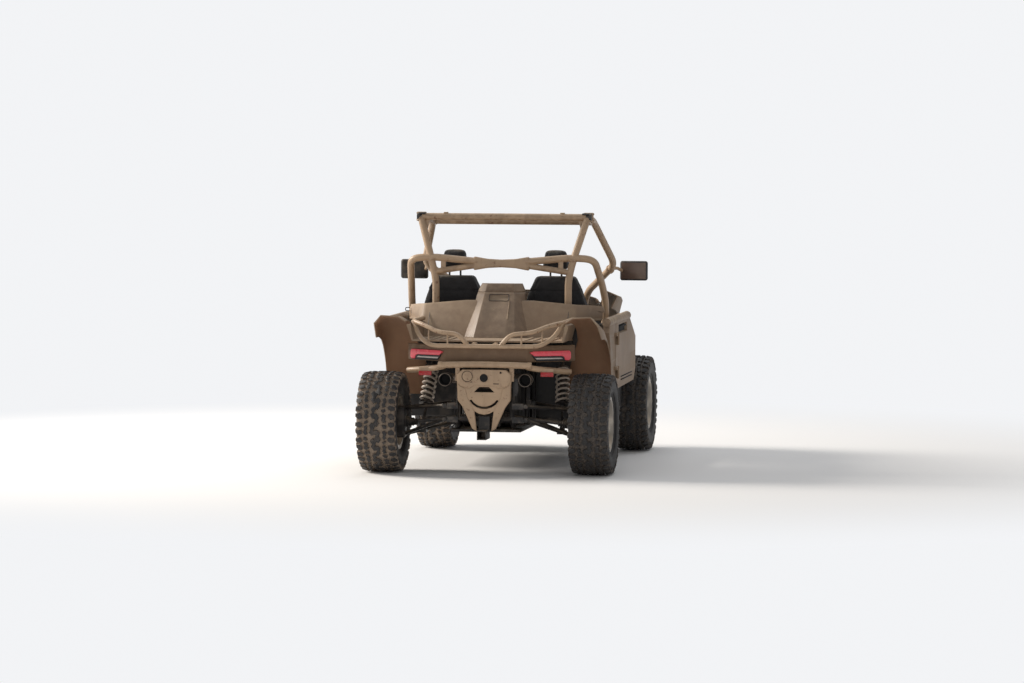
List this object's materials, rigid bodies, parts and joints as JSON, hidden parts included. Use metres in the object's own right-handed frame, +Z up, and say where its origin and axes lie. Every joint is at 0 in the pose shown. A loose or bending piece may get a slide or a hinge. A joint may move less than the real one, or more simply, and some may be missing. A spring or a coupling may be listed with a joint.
{
  "type": "side-by-side off-road buggy",
  "caption": "Open two-seat dune buggy with a tube roll cage, rear engine hump, long-travel wishbones, coil-over shocks and wide off-road tyres.",
  "frame": {"origin": "on the ground under the middle of the vehicle's length and width", "axes": "+Z up, +Y to the front, +X to the vehicle's right"},
  "size_m": [1.83, 3.085, 1.808],
  "materials": {
    "tan_paint": "satin",
    "tan_plastic": "matte, dusty",
    "frame_steel": "satin",
    "black_plastic": "matte",
    "tyre": "dusty",
    "alloy": "satin",
    "spring_steel": "satin",
    "seat_fabric": "woven",
    "lamp_red": "gloss",
    "lamp_clear": "gloss",
    "engine_metal": "satin",
    "exhaust_steel": "satin"
  },
  "bodies": {
    "chassis": {"frame": "frame_steel", "hitch_receiver": "frame_steel", "cage_hoop": "tan_paint", "cage_front": "tan_paint", "cab_tub": "black_plastic", "rear_deck": "tan_plastic", "engine_cover": "tan_plastic", "rear_fascia": "tan_plastic", "rear_bumper": "tan_paint", "rear_guard": "tan_paint", "cargo_rack": "tan_paint", "hood": "tan_plastic", "front_grille": "black_plastic", "front_bumper": "tan_paint", "dashboard": "black_plastic", "engine": "engine_metal", "exhaust": "exhaust_steel", "rear_drive": "frame_steel", "front_drive": "frame_steel", "tail_lamp_left": "lamp_red", "tail_lamp_right": "lamp_red", "rear_fender_left": "tan_plastic", "rear_fender_right": "tan_plastic", "front_fender_left": "tan_plastic", "front_fender_right": "tan_plastic", "headlamp_left": "lamp_clear", "headlamp_right": "lamp_clear", "seat_left": "seat_fabric", "seat_right": "seat_fabric", "mirror_left": "black_plastic", "mirror_right": "black_plastic", "rear_arms_left": "frame_steel", "rear_arms_right": "frame_steel", "front_arms_left": "frame_steel", "front_arms_right": "frame_steel", "rear_shock_left": "spring_steel", "rear_shock_right": "spring_steel", "front_shock_left": "spring_steel", "front_shock_right": "spring_steel"},
    "knuckle_left": {"front_knuckle_left": "frame_steel"},
    "knuckle_right": {"front_knuckle_right": "frame_steel"},
    "wheel_front_left": {"front_rim_left": "alloy", "front_tyre_left": "tyre"},
    "wheel_front_right": {"front_rim_right": "alloy", "front_tyre_right": "tyre"},
    "wheel_rear_left": {"rear_rim_left": "alloy", "rear_tyre_left": "tyre"},
    "wheel_rear_right": {"rear_rim_right": "alloy", "rear_tyre_right": "tyre"},
    "steering_wheel_body": {"steering_wheel": "black_plastic"},
    "track_rod_body": {"track_rod": "frame_steel"},
    "door_left_body": {"door_left": "tan_plastic"},
    "door_right_body": {"door_right": "tan_plastic"}
  },
  "joints": [
    {"name": "steer_left", "type": "hinge", "parent": "chassis", "child": "knuckle_left", "pos_m": [-0.655, 1.0625, 0.355], "axis": [0, 0, 1], "range_deg": [-30, 30]},
    {"name": "steer_right", "type": "hinge", "parent": "chassis", "child": "knuckle_right", "pos_m": [0.655, 1.0625, 0.355], "axis": [0, 0, 1], "range_deg": [-30, 30]},
    {"name": "steering_wheel_turn", "type": "hinge", "parent": "chassis", "child": "steering_wheel_body", "pos_m": [-0.365, 0.2725, 1.06], "axis": [0, -0.848, 0.5299], "range_deg": [-270, 270]},
    {"name": "track_rod_slide", "type": "slide", "parent": "chassis", "child": "track_rod_body", "axis": [1, 0, 0], "range_m": [-0.052, 0.052]},
    {"name": "front_wheel_left_spin", "type": "hinge", "parent": "knuckle_left", "child": "wheel_front_left", "pos_m": [-0.744, 1.0625, 0.355], "axis": [1, 0, 0], "continuous": true},
    {"name": "rear_wheel_left_spin", "type": "hinge", "parent": "chassis", "child": "wheel_rear_left", "pos_m": [-0.744, -1.1875, 0.355], "axis": [1, 0, 0], "continuous": true},
    {"name": "door_left_swing", "type": "hinge", "parent": "chassis", "child": "door_left_body", "pos_m": [-0.818, -0.4685, 0.78], "axis": [0, 0, 1], "range_deg": [0, 70]},
    {"name": "front_wheel_right_spin", "type": "hinge", "parent": "knuckle_right", "child": "wheel_front_right", "pos_m": [0.744, 1.0625, 0.355], "axis": [1, 0, 0], "continuous": true},
    {"name": "rear_wheel_right_spin", "type": "hinge", "parent": "chassis", "child": "wheel_rear_right", "pos_m": [0.744, -1.1875, 0.355], "axis": [1, 0, 0], "continuous": true},
    {"name": "door_right_swing", "type": "hinge", "parent": "chassis", "child": "door_right_body", "pos_m": [0.818, -0.4685, 0.78], "axis": [0, 0, -1], "range_deg": [0, 70]}
  ],
  "couplings": [
    {"joint": "steer_right", "follows": "steer_left", "ratio": 1},
    {"joint": "steering_wheel_turn", "follows": "steer_left", "ratio": 9},
    {"joint": "track_rod_slide", "follows": "steer_left", "m_per_rad": 0.0955}
  ]
}
